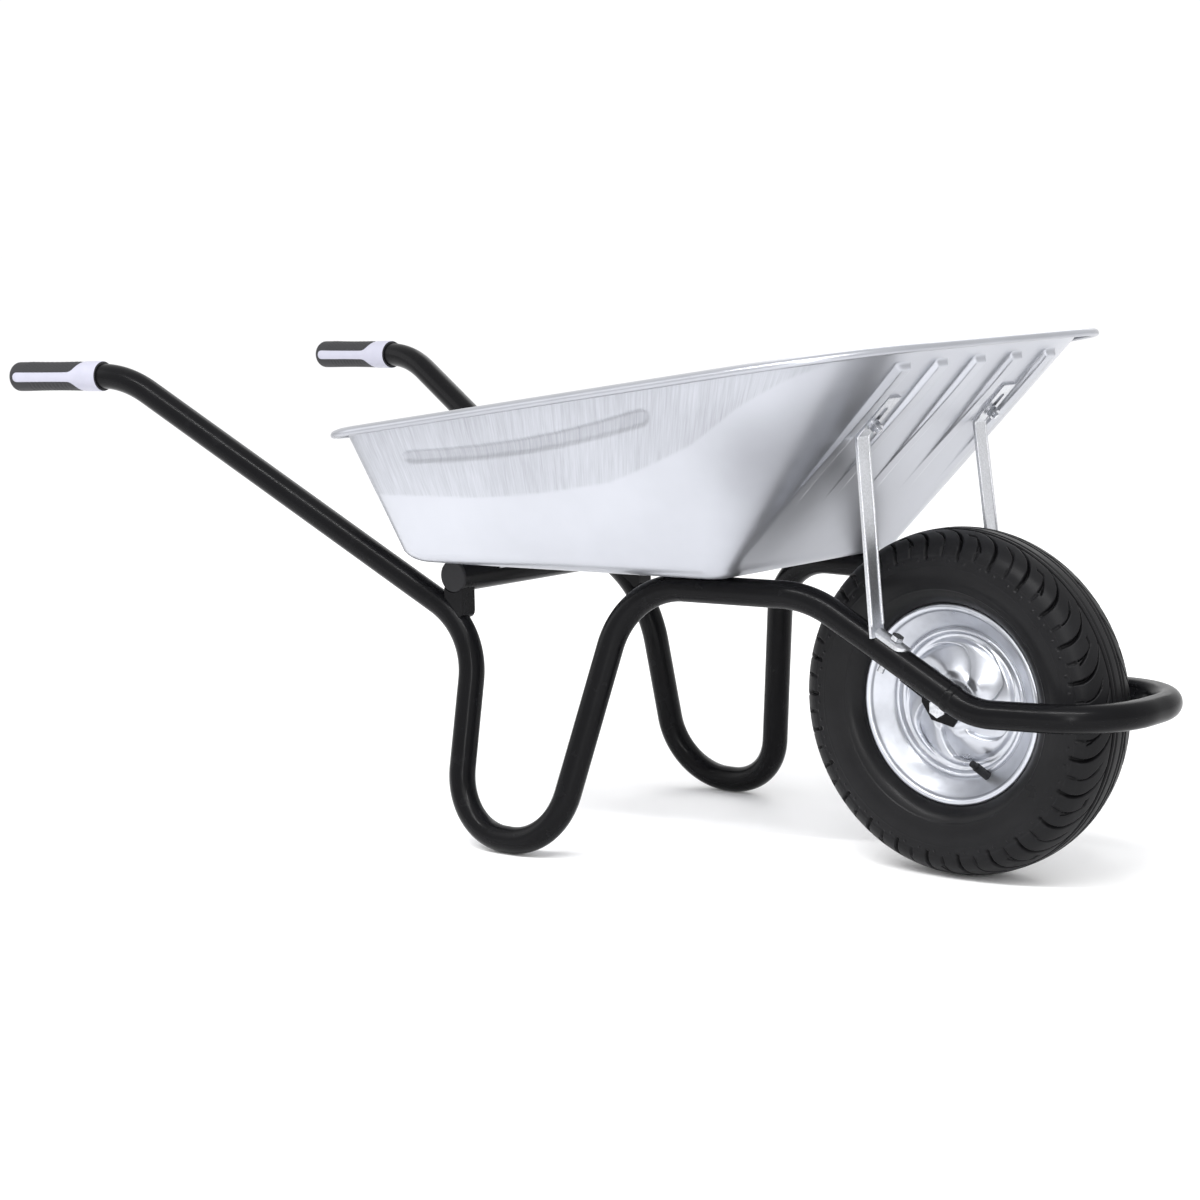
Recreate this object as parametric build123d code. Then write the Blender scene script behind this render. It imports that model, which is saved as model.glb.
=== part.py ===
from build123d import *
import math
import os

# Garden wheelbarrow, in millimetres. +X points forward to the wheel, +Y to the left and +Z up.
# The origin is on the ground, on the centre plane, below the middle of the overall length.
# Distances "ahead" are measured forward from the axle, and "above" from the height of the axle.

# wheel
tyre_diameter = 396
tyre_width = 105
tyre_crown_thickness = 10
tyre_side_thickness = 6
bead_diameter = 204          # where the tyre sits on the rim
rim_flange_diameter = 227
rim_width = 62               # over the two rolled lips
rim_sheet = 2
well_diameter = 170          # bottom of the rim's drop centre, over the sheet
well_width = 24
dish_depth = 8               # how far the dish stays inside the lips
hub_diameter = 38
hub_length = 60
bearing_bore = 12
bearing_diameter = 32
bearing_width = 10
ball_diameter = 5
ball_count = 8
cover_sheet = 2
running_gap = 0.05           # radial play between the balls and the races
tube_wall = 2                # rubber wall of the inner tube
valve_diameter = 10
valve_length = 32
valve_root = 16.5            # part of the valve inside the rim and the tube
valve_neck = 5.2             # threaded end under the cap
cap_length = 7
valve_angle = -65            # degrees round the wheel from straight ahead
# frame
frame_tube = 32
frame_wall = 1.5
handle_reach = 1281          # axle back to the rear ends of the grips
handle_rise = 354            # grips above the axle
handle_spread = 573          # between the centres of the two grips
nose_gap = 23                # free space between the tyre and the nose loop
nose_spread = 184            # between the centres of the loop's two sides at the front
nose_rise = 12               # front of the loop above the axle
nose_corner_bend = 91
leg_spread = 443             # between the centres of the two feet
leg_length = 152             # centre line to centre line along the foot
leg_ahead = -505             # middle of the feet
leg_lean = 0.22              # how far the legs spread for each millimetre down
leg_bend = 80
run_rise = 126               # level stretch under the tray above the axle
run_rear = -363
run_front = -122
run_front_left = 131         # side tube from the centre plane where it starts to fall
knee_ahead = -588
knee_rise = 58
handle_bend_ahead = -1090
handle_bend_rise = 358
handle_bend_inward = 19.5    # handle bend nearer the centre plane than the grip's end
handle_bend_radius = 140
knee_bend = 105
run_bend_rear = 95
run_bend_front = 130
nose_bend_ahead = 79
nose_bend_left = 112
nose_bend_rise = 9.5
nose_bend = 85
weld_back = 30               # nose bend back to the weld between loop and side tube
axle_bolt = 12
axle_washer_sheet = 2.5
bracket_sheet = 3
ledge_back = 10              # the bracket's flange behind the axle, clear of the brace nut
bracket_inside = 98          # between the two axle brackets
bracket_half = 25            # half the length of the bracket's plate
gusset_sheet = 4
gusset_length = 28
gusset_width = 24
gusset_drop = 52
gusset_corner = 10
gusset_inside = 161          # inner side of the gusset from the centre plane
cross_tube_diameter = 40
cross_tube_ahead = -610
cross_tube_length = 364
plug_cap = 3
plug_depth = 14
# tray
tray_sheet = 1.2
floor_rear = -646
floor_front = -224
floor_rear_width = 434
floor_front_width = 330
floor_rear_corner = 34
floor_front_corner = 6
floor_edge = 26              # radius between the floor and the walls
mouth_rear = -716
mouth_front = 42
mouth_width = 594
mouth_rear_corner = 72
mouth_front_corner = 150
mouth_front_rise = 414       # front of the tray's mouth above the axle
mouth_slope = 8.36           # degrees by which the mouth rises to the front
rim_ledge = 18               # how far the folded rim stands out
rim_depth = 10
rim_roll = 3.5
hook_spread = 234
hook_width = 10
hook_sheet = 2
hook_drop = 15
hook_foot = 14
# braces
brace_width = 25
brace_sheet = 3
brace_spread = 242           # between the two bolts through the front wall
brace_foot_spread = 257
brace_top_rise = 323         # bolt through the front wall, above the axle
brace_top_length = 61
brace_bolt_up = 21           # top bend up to that bolt
brace_slot = 30
brace_bend = 5
brace_foot_ahead = -43.5
brace_foot_length = 44
brace_foot_bolt_ahead = -22
brace_foot_turn = 10         # degrees by which the curved foot sits towards the outside
brace_bolt = 8
top_bolt_length = 16.5
foot_bolt_end = 8            # how far the foot's bolt stands out below the tube
washer_sheet = 1.6
# grips
grip_diameter = 38
grip_length = 153
grip_end_wall = 3
grip_inset = 1.8             # depth of the soft insert let into the grip
grip_end_round = 7
collar_length = 14
tongue_start = 10
fit_gap = 0.1                # radial play of bolts in their holes and of sleeves on tubes

axle_x = (handle_reach - tyre_diameter / 2 - nose_gap - frame_tube) / 2
axle_z = tyre_diameter / 2
tube_r = frame_tube / 2
floor_z = axle_z + run_rise + tube_r
wall_inset = tray_sheet * 1.15   # sheet thickness measured level through the leaning walls
axle_point = (axle_x, 0, axle_z)
wheel_axis = Axis(axle_point, (0, 1, 0))


def at(ahead, left, above):
    return Vector(axle_x + ahead, left, axle_z + above)


def leg_left(above):
    # the legs lean outward as they go down, in one sloping plane
    return leg_spread / 2 - leg_lean * (axle_z + above - tube_r)


def along_axle(radius, y0, y1):
    base = Plane(origin=(axle_x, y0, axle_z), x_dir=(1, 0, 0), z_dir=(0, 1, 0))
    return extrude(base * Circle(radius), y1 - y0)


def axle_ring(outer, inner, y0, y1):
    return along_axle(outer, y0, y1) - along_axle(inner, y0, y1)


def revolve_face(face):
    # the sketch's x becomes the axle direction and its y the radius
    plane = Plane(origin=axle_point, x_dir=(0, 1, 0), z_dir=(1, 0, 0))
    return revolve(plane * face, wheel_axis, 360)


def other_side(shape):
    return mirror(shape, Plane.XZ)


def bar(start, end, radius):
    direction = Vector(*end) - Vector(*start)
    base = Plane(origin=start, z_dir=direction)
    return extrude(base * Circle(radius), direction.length)


def hexagon_prism(start, direction, across_flats, height):
    base = Plane(origin=start, z_dir=direction)
    return extrude(base * RegularPolygon(across_flats / 2, 6, major_radius=False), height)


# ---- frame tubes ----
handle_bend = at(handle_bend_ahead, handle_spread / 2 - handle_bend_inward, handle_bend_rise)
handle_end = at(-handle_reach, handle_spread / 2, handle_rise)
handle_line = (handle_bend - handle_end).normalized()
knee = at(knee_ahead, leg_left(knee_rise), knee_rise)
front_bend = at(run_front, run_front_left, run_rise)
nose_bend_point = at(nose_bend_ahead, nose_bend_left, nose_bend_rise)
fall = (nose_bend_point - front_bend).normalized()
fall_up = Vector(-fall.Z, 0, fall.X).normalized()
fall_flat = Vector(fall.X, 0, fall.Z).normalized()
weld = nose_bend_point - fall * weld_back
side_bends = [handle_bend_radius, knee_bend, leg_bend, leg_bend, run_bend_rear, run_bend_front]


def side_route():
    foot_above = tube_r - axle_z
    return [
        handle_end + handle_line * grip_end_wall,
        handle_bend,
        knee,
        at(leg_ahead - leg_length / 2, leg_spread / 2, foot_above),
        at(leg_ahead + leg_length / 2, leg_spread / 2, foot_above),
        at(run_rear, leg_left(run_rise), run_rise),
        front_bend,
        weld,
    ]


def swept(path, outer, inner=0):
    start = Plane(origin=path @ 0, z_dir=path % 0)
    section = Circle(outer)
    if inner:
        section = section - Circle(inner)
    return sweep(start * section, path=path)


def side_path():
    return FilletPolyline(*side_route(), radius=side_bends)


def nose_path():
    front = tyre_diameter / 2 + nose_gap + tube_r
    corner = at(front, nose_spread / 2, nose_rise)
    flip = [Vector(p.X, -p.Y, p.Z) for p in (weld, nose_bend_point, corner)]
    points = [weld, nose_bend_point, corner] + flip[::-1]
    return FilletPolyline(*points, radius=[nose_bend, nose_corner_bend, nose_corner_bend, nose_bend])


side_solid_left = swept(side_path(), tube_r)
frame_tube_left = swept(side_path(), tube_r, tube_r - frame_wall)
nose_loop_tube = swept(nose_path(), tube_r, tube_r - frame_wall)


# ---- rear cross tube with its plugs and gussets ----
cross_r = cross_tube_diameter / 2
cross_z = floor_z - cross_r
cross_x = axle_x + cross_tube_ahead
half_cross = cross_tube_length / 2


def on_cross(left):
    return (cross_x, left, cross_z)


def cross_tube():
    ends = on_cross(-half_cross), on_cross(half_cross)
    return bar(*ends, cross_r) - bar(*ends, cross_r - frame_wall)


def cross_plug_left():
    inside = bar(on_cross(half_cross - plug_depth), on_cross(half_cross), cross_r - frame_wall)
    head = bar(on_cross(half_cross), on_cross(half_cross + plug_cap), cross_r)
    outer_edge = head.edges().filter_by(GeomType.CIRCLE).sort_by(Axis.Y)[-1]
    return inside + fillet(outer_edge, plug_cap * 0.8)


def gusset_left():
    # a folded saddle between the cross tube and the side tube, open to the rear
    middle = Pos(cross_x, gusset_inside + gusset_width / 2, cross_z - gusset_drop / 2)
    box = middle * Box(gusset_length, gusset_width, gusset_drop)
    room = middle * Pos(-gusset_sheet, 0, 0)
    hollow = room * Box(gusset_length - gusset_sheet, gusset_width - 2 * gusset_sheet, gusset_drop + 1)
    low_edges = box.edges().filter_by(Axis.Y).group_by(Axis.Z)[0]
    shell = fillet(low_edges, gusset_corner) - hollow
    round_bar = bar(on_cross(0), on_cross(half_cross + plug_cap), cross_r)
    # the saddle ends on the side tube, so the scrap on its far side is dropped
    left_over = shell - round_bar - side_solid_left
    return left_over.solids().sort_by(SortBy.VOLUME)[-1]


def falling_tube(ahead):
    # a point on the centre line of the side tube's falling stretch
    share = (axle_x + ahead - front_bend.X) / (nose_bend_point.X - front_bend.X)
    return front_bend + (nose_bend_point - front_bend) * share


# ---- axle brackets, hung below the side tubes ----
plate_y = bracket_inside / 2


def bracket_left():
    # an upright plate with a flange that is bent outward to the underside of the side tube
    slope = math.atan2(-fall.Z, fall.X)
    tube_here = falling_tube(0)
    under = tube_here.Z - tube_r / math.cos(slope) - axle_z
    half = bracket_half
    left_top = (-half, under + half * math.tan(slope))
    right_top = (half, under - half * math.tan(slope))
    # the lower edge follows the tube's slope and its two corners are cut off
    low_rear = (-half, 0.16 * half), (-0.48 * half, -0.6 * half)
    low_front = (0.64 * half, -0.84 * half), (half, -0.32 * half)
    outline = Polyline(left_top, *low_rear, *low_front, right_top, close=True)
    face = Plane(origin=(axle_x, plate_y + bracket_sheet, axle_z), x_dir=(1, 0, 0), z_dir=(0, -1, 0))
    plate = extrude(face * make_face(outline), bracket_sheet)
    reach = tube_here.Y - plate_y
    top = Plane(origin=(axle_x, plate_y, axle_z + under), x_dir=fall_flat, z_dir=fall_up)
    ledge_front = half / math.cos(slope)
    flange = Pos((ledge_front - ledge_back) / 2, reach / 2) * Rectangle(ledge_front + ledge_back, reach)
    ledge = extrude(top * flange, -bracket_sheet)
    hole = along_axle(axle_bolt / 2 + fit_gap, plate_y - 1, plate_y + bracket_sheet + 1)
    return plate + ledge - hole


# ---- tray ----
def rounded_outline(rear, front, rear_width, front_width, rear_corner, front_corner):
    half_rear = rear_width / 2
    half_front = front_width / 2
    corners = [(rear, -half_rear), (front, -half_front), (front, half_front), (rear, half_rear)]
    radii = [rear_corner, front_corner, front_corner, rear_corner]
    return FilletPolyline(*corners, radius=radii, close=True)


def floor_plane(lift=0.0):
    return Plane(origin=(axle_x, 0, floor_z + lift), x_dir=(1, 0, 0), z_dir=(0, 0, 1))


def mouth_plane(lift=0.0):
    tilt = math.radians(mouth_slope)
    up = Vector(-math.sin(tilt), 0, math.cos(tilt))
    base = Vector(axle_x + mouth_front, 0, axle_z + mouth_front_rise) + up * lift
    return Plane(origin=base, x_dir=(math.cos(tilt), 0, math.sin(tilt)), z_dir=up)


mouth_length = (mouth_front - mouth_rear) / math.cos(math.radians(mouth_slope))


def mouth_outline(grow):
    width = mouth_width + 2 * grow
    return rounded_outline(
        -mouth_length - grow, grow, width, width, mouth_rear_corner + grow, mouth_front_corner + grow)


def floor_outline(grow):
    return rounded_outline(
        floor_rear - grow, floor_front + grow, floor_rear_width + 2 * grow, floor_front_width + 2 * grow,
        floor_rear_corner + grow / 2, floor_front_corner + grow / 2)


wall_turn = 60               # degrees of the edge radius before the straight wall


def tray_body(inset, lift):
    # the flat floor turns up into the walls in two steps that follow the edge radius
    sections = []
    for turn in (0, wall_turn / 2, wall_turn):
        angle = math.radians(turn)
        grow = floor_edge * math.sin(angle) - inset
        rise = floor_edge * (1 - math.cos(angle)) + lift
        sections.append(floor_plane(rise) * make_face(floor_outline(grow)))
    sections.append(mouth_plane() * make_face(mouth_outline(-inset)))
    return loft(sections, ruled=True)


def wall_point(above):
    # a point on the outside of the sloping front wall, on the centre plane
    turn = math.radians(wall_turn)
    low_x = axle_x + floor_front + floor_edge * math.sin(turn)
    low = Vector(low_x, 0, floor_z + floor_edge * (1 - math.cos(turn)))
    high = mouth_plane().origin
    share = (axle_z + above - low.Z) / (high.Z - low.Z)
    return low + (high - low) * share


wall_up = (wall_point(run_rise * 2) - wall_point(run_rise)).normalized()
wall_out = Vector(wall_up.Z, 0, -wall_up.X)
brace_top = wall_point(brace_top_rise)
brace_low = brace_top - wall_up * brace_bolt_up
brace_high = brace_top + wall_up * (brace_top_length - brace_bolt_up)


def tray():
    shell = tray_body(0, 0) - tray_body(wall_inset, tray_sheet)
    around = make_face(mouth_outline(rim_ledge))
    ledge_face = around - make_face(mouth_outline(-wall_inset))
    ledge = extrude(mouth_plane(-tray_sheet) * ledge_face, tray_sheet)
    lip_face = around - make_face(mouth_outline(rim_ledge - rim_roll))
    lip = extrude(mouth_plane(-rim_depth) * lip_face, rim_depth)
    return shell + ledge + lip - brace_top_hole(-1) - brace_top_hole(1)


def top_seat(side):
    return Vector(brace_top.X, side * brace_spread / 2, brace_top.Z)


def brace_top_hole(side):
    through = wall_out * brace_bolt
    return bar(top_seat(side) - through, top_seat(side) + through, brace_bolt / 2 + fit_gap)


def rear_hook_left():
    # a strip under the floor that is bent down over the front of the cross tube
    front = cross_x + cross_r
    left = hook_spread / 2
    drop_at = Pos(front + hook_sheet / 2, left, floor_z - hook_drop / 2)
    foot_at = Pos(front + hook_foot / 2, left, floor_z - hook_sheet / 2)
    return drop_at * Box(hook_sheet, hook_width, hook_drop) + foot_at * Box(hook_foot, hook_width, hook_sheet)


# ---- braces from the side tubes to the front wall ----
outward = fall_up.cross(fall) * -1
foot_bolt = falling_tube(brace_foot_bolt_ahead)
foot_bend = falling_tube(brace_foot_ahead) + fall_up * tube_r


def brace_strip():
    # a flat bar that leans outward on its way down and ends inside the tube's outline
    tall = brace_low.Z - foot_bend.Z
    out = (brace_foot_spread - brace_spread) / 2
    lean = math.atan2(out, tall)
    down = (foot_bend - brace_low)
    low = foot_bend + Vector(down.X, 0, down.Z).normalized() * tube_r / 2
    points = [(p.X, (p.Z - foot_bend.Z) / math.cos(lean)) for p in (brace_high, brace_low, low)]
    middle_line = FilletPolyline(*points, radius=brace_bend)
    face = make_face(offset(middle_line, brace_sheet, side=Side.LEFT))
    plane = Plane(
        origin=(0, (brace_foot_spread + brace_width) / 2, foot_bend.Z),
        x_dir=(1, 0, 0), z_dir=(0, -math.cos(lean), -math.sin(lean)))
    return extrude(plane * face, brace_width, dir=(0, -1, 0))


def brace_foot():
    # a saddle with a rounded end, curved round the top of the side tube
    turn = math.radians(brace_foot_turn)
    start = falling_tube(brace_foot_ahead)
    ring = bar(start, start + fall * brace_foot_length, tube_r + brace_sheet)
    up = fall_up * math.cos(turn) + outward * math.sin(turn)
    plan = Plane(origin=start, x_dir=fall, z_dir=up)
    return ring & extrude(plan * SlotOverall(2 * brace_foot_length, brace_width), frame_tube)


def brace_left():
    slot_from = brace_bolt / 2 + 4 * fit_gap
    slot_middle = top_seat(1) + wall_up * (brace_slot / 2 - slot_from)
    slot_plane = Plane(origin=slot_middle, x_dir=wall_up, z_dir=wall_out)
    slot = extrude(slot_plane * SlotOverall(brace_slot, 2 * slot_from), brace_sheet * 2, both=True)
    return brace_strip() + brace_foot() - side_solid_left - slot - foot_bolt_hole()


def foot_bolt_hole():
    above = foot_bolt + fall_up * frame_tube
    below = foot_bolt - fall_up * frame_tube
    return bar(above, below, brace_bolt / 2 + fit_gap)


# ---- fasteners ----
head_flats = 1.6             # sizes over flats, head and nut heights as shares of the thread
head_height = 0.65
nut_height = 0.85
dome_ball = 1.45
dome_drop = 0.9
thread_beyond = 4


def hex_bolt(seat, direction, size, length):
    head = hexagon_prism(seat, direction * -1, size * head_flats, size * head_height)
    return head + bar(seat, seat + direction * length, size / 2)


def coach_bolt(seat, direction, size, length):
    dome = Pos(*(seat + direction * size * dome_drop)) * Sphere(size * dome_ball)
    keep = bar(seat - direction * size, seat, size * dome_ball)
    return (dome & keep) + bar(seat, seat + direction * length, size / 2)


def hex_nut(seat, direction, size):
    body = hexagon_prism(seat, direction, size * head_flats, size * nut_height)
    return body - bar(seat - direction, seat + direction * size, size / 2 + fit_gap / 2)


def washer(seat, direction, size, sheet):
    end = seat + direction * sheet
    return bar(seat, end, size) - bar(seat - direction, end + direction, size / 2 + fit_gap)


def both(shape):
    return Compound(children=[shape, other_side(shape)])


def brace_top_bolt():
    return coach_bolt(top_seat(1) - wall_out * wall_inset, wall_out, brace_bolt, top_bolt_length)


def brace_top_washer():
    return washer(top_seat(1) + wall_out * brace_sheet, wall_out, brace_bolt, washer_sheet)


def brace_top_nut():
    return hex_nut(top_seat(1) + wall_out * (brace_sheet + washer_sheet), wall_out, brace_bolt)


def brace_foot_bolt():
    length = brace_sheet + frame_tube + foot_bolt_end
    return hex_bolt(foot_bolt + fall_up * (tube_r + brace_sheet), fall_up * -1, brace_bolt, length)


# ---- grips ----
def grip_plane(along):
    return Plane(origin=handle_end + handle_line * along, x_dir=(0, 0, 1), z_dir=handle_line)


def grip_insert_left():
    # a collar at the front with a tongue that runs back along the outer side
    radius = grip_diameter / 2
    ring = Circle(radius) - Circle(radius - grip_inset)
    front = grip_plane(grip_length - collar_length) * ring
    collar = extrude(front, collar_length)
    strip = ring & (Pos(0, -radius) * Rectangle(radius * 1.5, radius * 2))
    tongue = extrude(grip_plane(tongue_start) * strip, grip_length - collar_length - tongue_start)
    return collar + tongue


def grip_left():
    radius = grip_diameter / 2
    sleeve = extrude(grip_plane(0) * Circle(radius), grip_length)
    back_edge = sleeve.edges().filter_by(GeomType.CIRCLE).sort_by(Axis.X)[0]
    sleeve = fillet(back_edge, grip_end_round)
    bore = extrude(grip_plane(grip_end_wall) * Circle(tube_r + fit_gap), grip_length)
    return sleeve - bore - grip_insert_left()


# ---- wheel ----
half_rim = rim_width / 2
bead_r = bead_diameter / 2
flange_r = rim_flange_diameter / 2
half_tyre = tyre_width / 2
crown_r = tyre_diameter / 2
widest_r = bead_r + (crown_r - bead_r) * 0.5
bead_y = half_rim - 2 * rim_sheet
seat_width = 9
joint_width = 9              # ring where the two rim halves lie on each other
shoulder_drop = 14
groove_width = 5
groove_depth = 7


def tyre_outline(side_wall, crown_wall, foot_r, foot_y):
    widest = half_tyre - side_wall
    shoulder = (half_tyre * 0.85 - side_wall, crown_r - shoulder_drop - side_wall * 0.6)
    flip = [(-y, r) for y, r in ((foot_y, foot_r), (widest, widest_r), shoulder)]
    right = ThreePointArc((foot_y, foot_r), (widest, widest_r), shoulder)
    crown = ThreePointArc(shoulder, (0, crown_r - crown_wall), flip[2])
    left = ThreePointArc(flip[2], flip[1], flip[0])
    return right, crown, left, flip[0]


def tyre():
    casing = closed_ring(0, 0, flange_r + 1, bead_y)
    air = closed_ring(tyre_side_thickness, tyre_crown_thickness, flange_r + 2, bead_y - tyre_side_thickness)
    bead_toe = bead_y - tyre_side_thickness - 2
    bead_ring = Pos(0, (bead_r + flange_r + 4) / 2) * Rectangle(2 * bead_y, flange_r + 4 - bead_r)
    bead_ring = chamfer(bead_ring.vertices().group_by(Axis.Y)[0], 2)
    bead_hole = Pos(0, (bead_r + flange_r) / 2) * Rectangle(2 * bead_toe, flange_r - bead_r + 20)
    section = casing - air + (bead_ring - air - bead_hole)
    groove_y = half_tyre / 4
    for side in (-1, 1):
        section -= Pos(side * groove_y, crown_r) * Rectangle(groove_width, 2 * groove_depth)
    return revolve_face(section)


def closed_ring(side_wall, crown_wall, foot_r, foot_y):
    arcs = tyre_outline(side_wall, crown_wall, foot_r, foot_y)
    return make_face(Curve() + [*arcs[:3], Line(arcs[3], (foot_y, foot_r))])


def inner_tube():
    # a closed rubber ring that fills the tyre
    side = tyre_side_thickness + 0.8
    crown = tyre_crown_thickness + 0.5
    foot_y = bead_y - tyre_side_thickness - 1
    outer = closed_ring(side, crown, flange_r + 2.5, foot_y)
    inner = closed_ring(side + tube_wall, crown + tube_wall, flange_r + 2.5 + tube_wall, foot_y - tube_wall)
    return revolve_face(outer - inner)


def rim_half_left():
    # a pressed steel half: rolled lip, bead seat, drop centre, joining face and dish
    half_sheet = rim_sheet / 2
    well_r = well_diameter / 2
    seat_r = bead_r - half_sheet
    hub_r = hub_diameter / 2
    points = [
        (half_rim, flange_r - half_sheet),
        (bead_y + half_sheet, flange_r - half_sheet),
        (bead_y + half_sheet, seat_r),
        (bead_y - seat_width, seat_r),
        (well_width / 2, well_r + half_sheet),
        (half_sheet, well_r + half_sheet),
        (half_sheet, well_r - joint_width),
        (half_rim - dish_depth, hub_r + 3 * rim_sheet),
        (half_rim - dish_depth, hub_r + half_sheet),
        (half_rim - rim_sheet, hub_r + half_sheet),
    ]
    line = FilletPolyline(*points, radius=[1.5, 2, 3, 2.5, 2, 2, 3, 1.5])
    return revolve_face(make_face(offset(line, half_sheet)))


def valve_ends():
    # the valve leans out of the rim's drop centre towards the right-hand side
    angle = math.radians(valve_angle)
    radial = Vector(math.cos(angle), 0, math.sin(angle))
    lean = (radial * -0.67 + Vector(0, -0.74, 0)).normalized()
    off_centre = Vector(0, -valve_diameter, 0)
    middle = Vector(*axle_point) + radial * (well_diameter / 2 + 0.4 * valve_root) + off_centre
    return middle - lean * valve_root, middle + lean * valve_length, lean


def rim_half_right():
    start, end, lean = valve_ends()
    return other_side(rim_half_left()) - bar(start, end, valve_diameter / 2 + fit_gap)


def valve_stem():
    start, end, lean = valve_ends()
    shoulder = end - lean * cap_length
    neck = bar(shoulder, shoulder + lean * valve_neck, valve_neck / 2)
    return bar(start, shoulder, valve_diameter / 2) + neck


def valve_cap():
    start, end, lean = valve_ends()
    shoulder = end - lean * cap_length
    socket = bar(shoulder, shoulder + lean * valve_neck, (valve_neck + fit_gap) / 2)
    return bar(shoulder, end, valve_diameter * 0.4) - socket


bearing_out = hub_length / 2
bearing_in = bearing_out - bearing_width
hole_r = axle_bolt / 2 + fit_gap
pitch_r = (bearing_bore + bearing_diameter) / 4
race_gap = ball_diameter * 0.4   # between the pitch circle and each race's open face
inner_race_r = pitch_r - race_gap
outer_race_r = pitch_r + race_gap


def hub_tube():
    outside = along_axle(hub_diameter / 2, -bearing_out, bearing_out)
    bore = along_axle(bearing_diameter / 2 - 1, -bearing_out, bearing_out)
    seats = [along_axle(bearing_diameter / 2, y, y + bearing_width) for y in (-bearing_out, bearing_in)]
    return outside - bore - seats[0] - seats[1]


def ball_track():
    middle = (bearing_in + bearing_out) / 2
    plane = Plane(origin=(axle_x, middle, axle_z), z_dir=(0, 1, 0))
    return plane * Torus(pitch_r, ball_diameter / 2 + running_gap)


def bearing_inner_ring():
    return axle_ring(inner_race_r, hole_r, bearing_in, bearing_out) - ball_track()


def bearing_outer_ring():
    return axle_ring(bearing_diameter / 2, outer_race_r, bearing_in, bearing_out) - ball_track()


def bearing_balls():
    balls = []
    for side in (-1, 1):
        for number in range(ball_count):
            angle = 2 * math.pi * number / ball_count
            place = (
                axle_x + pitch_r * math.cos(angle),
                side * (bearing_in + bearing_out) / 2,
                axle_z + pitch_r * math.sin(angle),
            )
            balls.append(Pos(*place) * Sphere(ball_diameter / 2))
    return Compound(children=balls)


def bearing_cover():
    inner = inner_race_r + 5 * fit_gap
    return axle_ring(bearing_diameter / 2 + cover_sheet, inner, bearing_out, bearing_out + cover_sheet)


# ---- axle ----
spacer_r = inner_race_r - 2 * fit_gap
plate_out = plate_y + bracket_sheet


def axle_sleeve():
    return axle_ring(spacer_r, hole_r, -bearing_in, bearing_in)


def axle_spacer_left():
    return axle_ring(spacer_r, hole_r, bearing_out, plate_y)


def axle_bolt_piece():
    length = 2 * plate_out + axle_washer_sheet + axle_bolt * nut_height + thread_beyond
    return hex_bolt(Vector(axle_x, -plate_out, axle_z), Vector(0, 1, 0), axle_bolt, length)


def axle_washer():
    return washer(Vector(axle_x, plate_out, axle_z), Vector(0, 1, 0), axle_bolt, axle_washer_sheet)


def axle_nut():
    return hex_nut(Vector(axle_x, plate_out + axle_washer_sheet, axle_z), Vector(0, 1, 0), axle_bolt)


def main():
    os.makedirs("parts", exist_ok=True)
    nodes = {
        "nose_loop_tube": nose_loop_tube,
        "rear_cross_tube": cross_tube(),
        "cross_tube_plugs": both(cross_plug_left()),
        "tray": tray(),
        "tray_rear_hooks": both(rear_hook_left()),
        "brace_top_bolts": both(brace_top_bolt()),
        "brace_top_washers": both(brace_top_washer()),
        "brace_top_nuts": both(brace_top_nut()),
        "brace_foot_bolts": both(brace_foot_bolt()),
        "tyre": tyre(),
        "inner_tube": inner_tube(),
        "rim_half_left": rim_half_left(),
        "rim_half_right": rim_half_right(),
        "valve_stem": valve_stem(),
        "valve_cap": valve_cap(),
        "hub_tube": hub_tube(),
        "bearing_inner_rings": both(bearing_inner_ring()),
        "bearing_outer_rings": both(bearing_outer_ring()),
        "bearing_balls": bearing_balls(),
        "bearing_covers": both(bearing_cover()),
        "axle_sleeve": axle_sleeve(),
        "axle_spacers": both(axle_spacer_left()),
        "axle_bolt": axle_bolt_piece(),
        "axle_washer": axle_washer(),
        "axle_nut": axle_nut(),
    }
    pairs = {
        "frame_tube": frame_tube_left - foot_bolt_hole(),
        "cross_tube_gusset": gusset_left(),
        "axle_bracket": bracket_left(),
        "brace": brace_left(),
        "grip": grip_left(),
        "grip_insert": grip_insert_left(),
    }
    for name, shape in pairs.items():
        nodes[name + "_left"] = shape
        nodes[name + "_right"] = other_side(shape)
    for name, shape in nodes.items():
        export_step(shape, f"parts/{name}.step")


main()
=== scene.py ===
import math
import bpy
import numpy as np
from mathutils import Matrix, Vector


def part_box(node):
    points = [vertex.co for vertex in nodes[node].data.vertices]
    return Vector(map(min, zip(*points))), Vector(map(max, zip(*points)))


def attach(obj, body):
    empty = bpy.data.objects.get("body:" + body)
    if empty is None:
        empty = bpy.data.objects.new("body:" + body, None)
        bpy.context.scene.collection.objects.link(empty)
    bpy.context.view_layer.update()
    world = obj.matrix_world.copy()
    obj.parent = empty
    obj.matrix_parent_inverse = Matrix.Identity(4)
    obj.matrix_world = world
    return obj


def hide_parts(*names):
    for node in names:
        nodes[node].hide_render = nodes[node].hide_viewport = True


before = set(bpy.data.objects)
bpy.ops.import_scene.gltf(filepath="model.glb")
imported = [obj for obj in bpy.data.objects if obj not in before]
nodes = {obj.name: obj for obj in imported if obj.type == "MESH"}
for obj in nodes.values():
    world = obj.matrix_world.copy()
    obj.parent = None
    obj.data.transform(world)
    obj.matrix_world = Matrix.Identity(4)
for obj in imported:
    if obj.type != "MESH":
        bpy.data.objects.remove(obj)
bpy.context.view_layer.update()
print("frame loaded", len(nodes), "nodes")

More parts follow.
